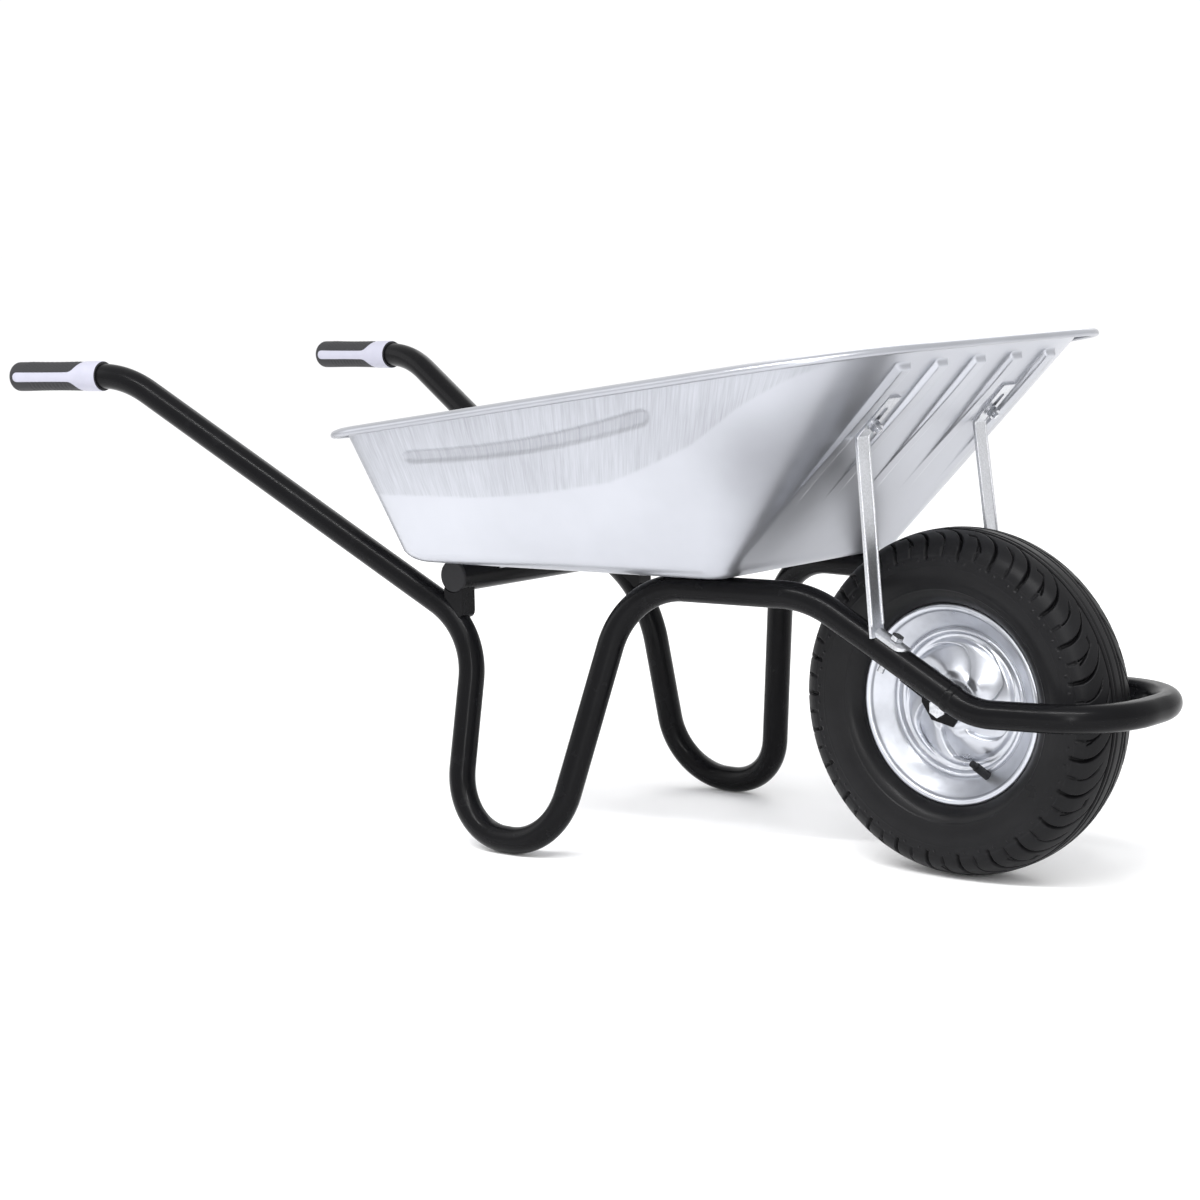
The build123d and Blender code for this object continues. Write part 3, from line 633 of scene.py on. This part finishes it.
def treadCut(arc, turn, side):
    # arc is the distance from the centre line over the crown, turn the distance round the crown
    pitch = 2 * math.pi * crownR / tyre["pitches"]
    out = np.abs(arc)
    shift = turn + (0.5 * pitch if side > 0 else 0)
    share = np.clip((out - tyre["outerRib"]) / (tyre["shoulderEnd"] - tyre["outerRib"]), 0, 1.3)
    sweep = tyre["sweep"] * (1 - np.sqrt(np.maximum(0, 1 - (1 - np.minimum(share, 1)) ** 2)))
    phase = (shift - sweep) / pitch
    near = (phase - np.round(phase)) * pitch
    width = tyre["grooveHalf"] * (0.65 + 0.55 * share)
    cuts = cut(near, width) * eased(out, tyre["outerRib"] - 1, tyre["outerRib"] + 1)
    # every second block has a straight sipe with a corner, the others a slanting one
    block = np.floor(phase + 0.5).astype(int) % 2
    inBlock = (phase - np.floor(phase) - 0.5) * pitch
    sipe = cut(inBlock, tyre["sipeHalf"], 0.6) * window(out, tyre["sipeBand"])
    nearCorner = np.abs(inBlock - tyre["cornerFrom"]) < tyre["cornerHalf"]
    corner = cut(out - tyre["cornerArc"], tyre["sipeHalf"], 0.6) * nearCorner
    slant = cut(inBlock + (out - tyre["slantArc"]) * tyre["slantLean"], tyre["slantHalf"], 0.6)
    slant = slant * window(out, tyre["slantBand"]) * tyre["slantDepth"]
    cuts = np.maximum(cuts, np.where(block == 0, np.maximum(sipe, corner) * tyre["sipeDepth"], slant))
    notch = cut(inBlock, tyre["notchHalf"], 1.2) * window(out, tyre["notchBand"])
    cuts = np.maximum(cuts, notch * tyre["notchDepth"])
    for place in (tyre["centreGroove"], tyre["outerRib"]):
        cuts = np.maximum(cuts, cut(out - place, tyre["centreWidth"], 0.6) * tyre["ringDepth"])
    return cuts * (1 - eased(out, *tyre["treadEnd"]))


def buildTyre():
    half, gone = smoothLine(tyreProfile, tyre["across"])
    total = gone[-1]
    right = half * np.array((-1, 1))
    profile = np.concatenate([right, half[::-1][1:]])
    arc = np.concatenate([-(total - gone), (total - gone[::-1][1:])])
    count = tyre["pitches"] * tyre["perPitch"]
    angles = np.linspace(0, 2 * math.pi, count, endpoint=False)
    y, r = profile[:, 0][:, None], profile[:, 1][:, None]
    turn = angles[None, :] * crownR
    arcs = np.repeat(arc[:, None], count, 1)
    cuts = np.where(arcs < 0, treadCut(arcs, turn, -1), treadCut(arcs, turn, 1))
    tangent = np.gradient(profile, axis=0)
    tangent /= np.linalg.norm(tangent, axis=1, keepdims=True)
    outY, outR = -tangent[:, 1][:, None], tangent[:, 0][:, None]
    if outR[len(outR) // 2, 0] < 0:
        outY, outR = -outY, -outR
    # the tread, the step below it, fine ridges low on the wall and moulded nubs
    out = np.abs(arcs)
    relief = -cuts * tyre["treadDepth"] * (1 - tyre["shoulderLoss"] * eased(out, *tyre["shoulder"]))
    relief = relief - tyre["wallStep"] * window(out, tyre["wallBand"])
    for height, place, width, soft in tyre["wallLines"]:
        relief = relief + height * cut(out - place, width, soft)
    spoke = (angles[None, :] * tyre["nubs"] / (2 * math.pi)) % 1 - 0.5
    nub = cut(spoke * 2 * math.pi * tyre["nubR"] / tyre["nubs"], tyre["nubHalf"], 0.5)
    relief = relief + tyre["nubHeight"] * nub * cut(out - tyre["nubArc"], tyre["nubLong"], 0.8)
    newY = y + outY * relief
    newR = r + outR * relief
    points = np.stack(
        [axle[0] + newR * np.cos(angles), newY + axle[1], axle[2] + newR * np.sin(angles)], -1)
    piece = gridMesh("tyreCasing", points, tyreRubber, wrapCols=True)
    paintOn(piece, "depth", cuts)
    paintOn(piece, "wall", eased(out, *tyre["wallShade"]))
    settle(piece, "wheel", "tyre_rubber", "tyre")


def tyreRecipe(place, look):
    cloud = place.noise(look["cloud"], 4.0)
    fine = place.noise(look["grain"], 3.0)
    depth = place.attribute("depth")
    wall = place.attribute("wall")
    # painted shade: the tread cuts are painted darker the deeper they go
    tone = (cloud * 0.55 + fine * 0.25 + 0.25 - depth * 0.55 + wall * 0.12).smooth(0.0, 1.0)
    return {
        "Base Color": tone.blend(look["dark"], look["light"]),
        "Roughness": look["rough"] - wall * 0.12 + depth * 0.15 + (cloud - 0.5) * 0.15,
        "Specular IOR Level": look["shine"],
        "Normal": (fine * 0.6 + cloud * 0.4).bump(look["bump"], look["bumpHeight"]),
    }


tyreRubber = makeMaterial("tyreRubber", tyreRecipe, {
    "cloud": 22.0, "grain": 1100.0, "dark": (0.002, 0.002, 0.0025), "light": (0.011, 0.011, 0.012),
    "shine": 0.11, "rough": 0.42, "bump": 0.25, "bumpHeight": 0.12})
buildTyre()
print("tyre made")

# rim halves: rolled lip, bead seat, cone, joint ring and a dish with pressed spiral vanes
rim = {
    "sheet": 2.0, "around": 720, "across": 230,
    "dishR": 77.0, "dishDrop": 2.0, "dishBand": (0.0, 0.22, 0.82, 0.98),
    "vanes": 6, "vaneHeight": 6.5, "vaneFrom": 28.0, "vaneTo": 76.0,
    "vaneBand": (0.0, 0.72, 0.86, 0.97), "vaneSweep": 0.75, "vaneHook": 0.55, "hookBand": (0.72, 1.0),
    # strength, radius, half width and softness of each painted shade line in a crease of the profile
    "creaseShades": ((1.0, 86.4, 0.8, 1.4), (1.0, 107.6, 0.6, 1.0), (0.6, 79.4, 0.5, 1.0)),
}
rimProfileRight = (
    (27.6, 113.0), (29.4, 113.9), (31.0, 113.4), (31.6, 111.4), (30.9, 109.4), (29.2, 107.8),
    (27.2, 106.0), (22.5, 100.6), (17.5, 94.8), (12.6, 89.2), (10.0, 86.8), (10.4, 84.8),
    (12.4, 83.4), (12.4, 81.6), (9.4, 80.0), (7.0, 77.5), (6.8, 73.0), (8.6, 64.0), (11.6, 54.0),
    (15.0, 44.0), (18.4, 35.0), (21.2, 29.0), (22.6, 26.0), (23.2, 22.5), (24.2, 20.6), (26.0, 20.1),
    (29.0, 20.1))


def buildRim(name, sign):
    profile, gone = smoothLine(rimProfileRight, rim["across"])
    angles = np.linspace(0, 2 * math.pi, rim["around"], endpoint=False)
    y = np.repeat(profile[:, 0][:, None], rim["around"], 1)
    r = np.repeat(profile[:, 1][:, None], rim["around"], 1)
    share = np.clip((r - rim["vaneFrom"]) / (rim["vaneTo"] - rim["vaneFrom"]), 0, 1)
    sweep = rim["vaneSweep"] * share ** 1.2 + rim["vaneHook"] * eased(share, *rim["hookBand"])
    phase = ((angles[None, :] * -sign - sweep) * rim["vanes"] / (2 * math.pi)) % 1
    onDish = window(share, rim["dishBand"])
    rise = window(phase, rim["vaneBand"]) * onDish * rim["vaneHeight"] - onDish * rim["dishDrop"]
    inDish = (gone > gone[np.argmin(np.abs(profile[:, 1] - rim["dishR"]))])[:, None]
    y = y + np.where(inDish, rise, 0)
    points = np.stack([axle[0] + r * np.cos(angles), sign * y, axle[2] + r * np.sin(angles)], -1)
    piece = gridMesh("rim_" + name, points, rimZinc, wrapCols=True, flip=sign > 0)
    paintOn(piece, "creaseShade", sum(dark * cut(r - at, half, soft) for dark, at, half, soft in rim["creaseShades"]))
    thicken(piece, rim["sheet"], 0)
    settle(piece, "wheel", "rim_zinc", "rim_half_" + name)


def rimRecipe(place, look):
    cloud = place.noise(look["cloud"], 4.0)
    fine = place.noise(look["grain"], 2.0)
    creaseShade = place.attribute("creaseShade")
    # painted shade: the crease lines of the profile are painted darker
    tone = (cloud * 0.5 + 0.35 - creaseShade * 0.5).smooth(0.0, 1.0)
    return {
        "Base Color": tone.blend(look["dark"], look["light"]),
        "Metallic": look["metal"],
        "Roughness": look["rough"] + (cloud - 0.5) * 0.12 + creaseShade * 0.2,
        "Normal": (fine * 0.5 + cloud * 0.5).bump(look["bump"], look["bumpHeight"]),
    }


rimZinc = makeMaterial("rimZinc", rimRecipe, {
    "cloud": 30.0, "grain": 1300.0, "dark": (0.28, 0.29, 0.32), "light": (0.66, 0.68, 0.73),
    "metal": 0.88, "rough": 0.30, "bump": 0.08, "bumpHeight": 0.1})
buildRim("left", 1)
buildRim("right", -1)
print("rim made")

# grips: a textured rubber body with a pale insert that runs back from a full collar
grip = {
    "radius": 19.0, "length": 153.0, "endRound": 8.0, "frontR": 16.1, "along": 190, "around": 180,
    "waist": 0.7, "waistFrom": 20.0, "waistLength": 110.0,
    "dotPitch": 4.2, "dotHeight": 0.5, "dotSize": (0.8, 1.7), "dotBand": (22.0, 28.0, 112.0, 118.0),
    "ridgePitch": 7.0, "ridgeDepth": 0.5, "ridgeBand": (30.0, 36.0, 100.0, 106.0),
    "tongueHalf": 0.36, "tongueFrom": 9.0, "tongueEnd": 7.0, "collar": 13.0, "flareFrom": 98.0,
    "insertRise": 0.35, "insertDepth": 0.6, "insertFront": 0.4, "insertShift": 0.3,
}
handleEnd = np.array((-767.0, 286.5, 552.0))
handleBend = np.array((-576.0, 267.0, 556.0))


def gripFrame(sign):
    flip = np.array((1, sign, 1))
    heading = unit((handleBend - handleEnd) * flip)
    outer = np.array((0.0, sign, 0.0))
    outer = unit(outer - heading * float(outer @ heading))
    up = np.cross(heading, outer) * -sign
    return handleEnd * flip, heading, outer, up * (1 if up[2] > 0 else -1)


def gripSurface(sign, along, angle, radius):
    # angle 0 is the outer side and a quarter turn the top
    start, heading, outer, up = gripFrame(sign)
    around = np.cos(angle)[..., None] * outer + np.sin(angle)[..., None] * up
    return start + heading * along[..., None] + around * radius[..., None]


def gripWaist(a):
    return grip["waist"] * np.sin(np.clip((a - grip["waistFrom"]) / grip["waistLength"], 0, 1) * math.pi)


def buildGripBody(name, sign, along):
    angles = np.linspace(-math.pi, math.pi, grip["around"], endpoint=False)
    a, w = np.meshgrid(along, angles, indexing="ij")
    back = np.clip(1 - a / grip["endRound"], 0, 1)
    radius = grip["radius"] - grip["endRound"] * (1 - np.sqrt(np.maximum(0, 1 - back ** 2)))
    radius = radius - gripWaist(a)
    # rows of dots on top, every second row half a pitch on
    pitch = grip["dotPitch"]
    row = np.round(a / pitch)
    fromRow = a - row * pitch
    arc = w * grip["radius"] + (row % 2) * pitch / 2
    fromDot = arc - np.round(arc / pitch) * pitch
    dot = 1 - eased(np.hypot(fromRow, fromDot), *grip["dotSize"])
    radius = radius + eased(np.sin(w), 0.25, 0.5) * window(a, grip["dotBand"]) * grip["dotHeight"] * dot
    # shallow ridges across the underside
    pitch = grip["ridgePitch"]
    ridge = cut((a % pitch) - pitch / 2, 0.8, 0.8) * window(a, grip["ridgeBand"])
    radius = radius - eased(-np.sin(w), 0.2, 0.5) * grip["ridgeDepth"] * ridge
    rows = gripSurface(sign, a, w, radius)
    start, heading, outer, up = gripFrame(sign)
    cap = np.repeat(start[None, None, :], grip["around"], 1)
    disc = start + (rows[:1] - start) * 0.5
    front = start + heading * grip["length"]
    frontDisc = front + (rows[-1:] - front) * grip["frontR"] / grip["radius"]
    rows = np.concatenate([cap, disc, rows, frontDisc])
    piece = gridMesh("gripBody_" + name, rows, gripRubber, wrapCols=True)
    settle(piece, "frame", "grip_rubber", "grip_" + name)


def buildGripInserts(name, sign, along):
    # half is the half angle of the tongue; the collar is where the two tongues meet
    flare = eased(along, grip["flareFrom"], grip["length"] - grip["collar"])
    half = grip["tongueHalf"] + (math.pi - grip["tongueHalf"]) * flare ** 2.2
    inset = np.clip((along - grip["tongueFrom"]) / grip["tongueEnd"], 0, 1)
    half = half * np.sqrt(np.maximum(0, 1 - (1 - inset) ** 2))
    half = np.minimum(half, math.pi / 2 + 0.004)
    keep = along >= grip["tongueFrom"]
    a, t = np.meshgrid(along[keep], np.linspace(-1, 1, 90), indexing="ij")
    half = half[keep][:, None]
    w = half * t
    edge = (1 - np.abs(t)) * half * grip["radius"]
    lift = np.where(half > math.pi / 2, 1.0, np.sqrt(np.clip(edge / 1.2, 0, 1)))
    lift = lift * np.sqrt(np.clip((a - grip["tongueFrom"]) / 1.5, 0, 1))
    lift = lift * np.sqrt(np.clip((grip["length"] + grip["insertFront"] - a) / 1.6, 0, 1))
    sunk = grip["radius"] - gripWaist(a) - grip["insertDepth"]
    radius = sunk + (grip["insertDepth"] + grip["insertRise"]) * lift
    for place, turn in (("Outer", 0.0), ("Inner", math.pi)):
        points = gripSurface(sign, a + grip["insertShift"], w + turn, radius)
        piece = gridMesh("gripInsert" + place + "_" + name, points, gripPale)
        settle(piece, "frame", "grip_insert", "grip_insert_" + name)


gripRubber = makeMaterial("gripRubber", rubberRecipe, {
    **rubberLook, "dark": (0.018, 0.018, 0.020), "light": (0.034, 0.034, 0.037), "rough": 0.6,
    "cloud": 60.0})
gripPale = makeMaterial("gripPale", rubberRecipe, {
    **rubberLook, "dark": (0.33, 0.33, 0.40), "light": (0.43, 0.43, 0.50), "rough": 0.42,
    "cloud": 50.0, "bump": 0.1})
gripAlong = grip["length"] * np.linspace(0, 1, grip["along"])
for name, sign in (("left", 1), ("right", -1)):
    buildGripBody(name, sign, gripAlong)
    buildGripInserts(name, sign, gripAlong)
print("grips made")

# camera
view = {
    "place": (2.2469, -2.7704, 0.7634), "azimuth": 39.26, "elevation": 7.77, "roll": -1.07,
    "lens": 87.13, "sensor": 36.0, "clipEnd": 60.0,
}


def makeCamera():
    a, e, roll = (math.radians(view[k]) for k in ("azimuth", "elevation", "roll"))
    back = Vector((math.sin(a) * math.cos(e), -math.cos(a) * math.cos(e), math.sin(e)))
    right = Vector((math.cos(a), math.sin(a), 0))
    up = back.cross(right)
    x = right * math.cos(roll) + up * math.sin(roll)
    y = up * math.cos(roll) - right * math.sin(roll)
    data = bpy.data.cameras.new("view")
    data.lens = view["lens"]
    data.sensor_width = view["sensor"]
    data.clip_end = view["clipEnd"]
    camera = bpy.data.objects.new("view", data)
    bpy.context.scene.collection.objects.link(camera)
    camera.matrix_world = Matrix((
        (x.x, y.x, back.x, view["place"][0]), (x.y, y.y, back.y, view["place"][1]),
        (x.z, y.z, back.z, view["place"][2]), (0, 0, 0, 1)))
    bpy.context.scene.camera = camera


makeCamera()

# floor and light
studio = {
    "floorTone": (0.97, 0.97, 0.975), "worldTone": (1.0, 1.0, 1.0), "worldStrength": 1.06,
    "floorRough": 0.9, "floorHalf": 40.0, "floorDrop": 0.0005, "aimHeight": 0.35,
    "lamps": (
        ("key", (1.6, -2.6, 3.2), (2.2, 2.2), 40.0), ("side", (-3.0, -1.8, 1.8), (2.0, 2.0), 16.0),
        ("rear", (-1.0, 3.0, 2.6), (2.4, 2.4), 30.0), ("strip", (0.4, -1.5, 2.3), (3.2, 0.05), 52.0),
        ("lowStrip", (1.9, -2.4, 0.9), (0.07, 1.4), 16.0)),
}


def buildStudio():
    floorMaterial = makeMaterial("floorMatte", lambda place, look: {
        "Base Color": look["floorTone"], "Roughness": look["floorRough"]}, studio)
    half, low = studio["floorHalf"], -studio["floorDrop"]
    corners = [(-half, -half, low), (half, -half, low), (half, half, low), (-half, half, low)]
    mesh = bpy.data.meshes.new("floor")
    mesh.from_pydata(corners, [], [(0, 1, 2, 3)])
    mesh.materials.append(floorMaterial)
    floor = bpy.data.objects.new("floor", mesh)
    bpy.context.scene.collection.objects.link(floor)
    world = bpy.data.worlds.new("studio")
    world.use_nodes = True
    background = world.node_tree.nodes["Background"]
    background.inputs["Color"].default_value = (*studio["worldTone"], 1)
    background.inputs["Strength"].default_value = studio["worldStrength"]
    bpy.context.scene.world = world
    for name, place, size, power in studio["lamps"]:
        data = bpy.data.lights.new(name, "AREA")
        data.shape = "RECTANGLE"
        data.size, data.size_y = size
        data.energy = power
        lamp = bpy.data.objects.new(name, data)
        bpy.context.scene.collection.objects.link(lamp)
        lamp.location = place
        aim = Vector((0, 0, studio["aimHeight"])) - Vector(place)
        lamp.rotation_euler = aim.to_track_quat("-Z", "Y").to_euler()
    bpy.context.scene.view_settings.view_transform = "Standard"


buildStudio()
print("studio made")
